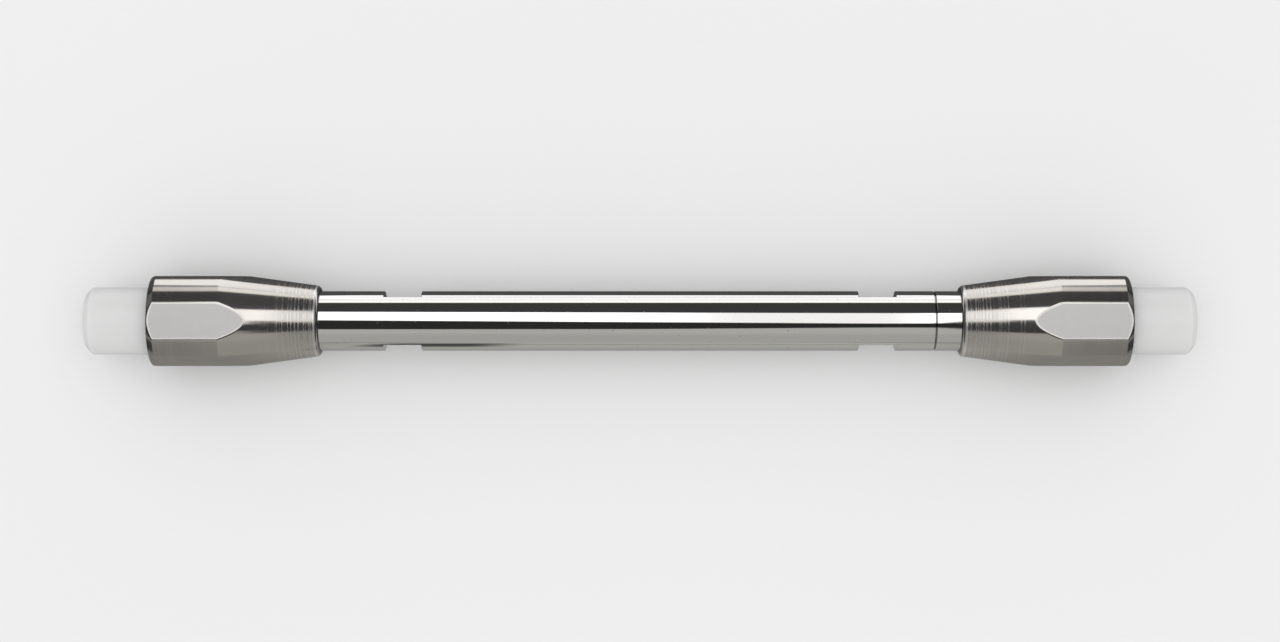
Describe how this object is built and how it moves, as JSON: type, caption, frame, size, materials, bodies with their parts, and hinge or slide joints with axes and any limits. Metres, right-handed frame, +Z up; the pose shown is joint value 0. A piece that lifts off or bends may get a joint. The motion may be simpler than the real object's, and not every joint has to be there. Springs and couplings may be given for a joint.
{
  "type": "liquid chromatography column",
  "caption": "Packed steel chromatography column: a polished tube between two coned heads with wrench flats, and a white screw plug in each port.",
  "frame": {"origin": "on the surface under the middle of the column, at the bottom of the box around it", "axes": "+X along the column from its inlet to its outlet, +Z up from the wrench flats that it lies on"},
  "size_m": [0.1482, 0.012, 0.012],
  "materials": {
    "polished_tube": "polished",
    "turned_steel": "satin",
    "white_plug": "satin",
    "seal_polymer": "satin",
    "packing": "matte"
  },
  "bodies": {
    "column": {"column_tube": "polished_tube", "packed_bed": "packing", "inlet_head": "turned_steel", "inlet_fitting_adapter": "turned_steel", "inlet_screen": "turned_steel", "inlet_screen_holder": "turned_steel", "inlet_soft_ring": "seal_polymer", "outlet_head": "turned_steel", "outlet_fitting_adapter": "turned_steel", "outlet_screen": "turned_steel", "outlet_screen_holder": "turned_steel", "outlet_soft_ring": "seal_polymer"},
    "inlet_plug": {"inlet_plug": "white_plug"},
    "outlet_plug": {"outlet_plug": "white_plug"}
  },
  "joints": [
    {"name": "inlet_plug_travel", "type": "slide", "parent": "column", "child": "inlet_plug", "axis": [-1, 0, 0], "range_m": [0, 0.014]},
    {"name": "outlet_plug_travel", "type": "slide", "parent": "column", "child": "outlet_plug", "axis": [1, 0, 0], "range_m": [0, 0.014]}
  ]
}
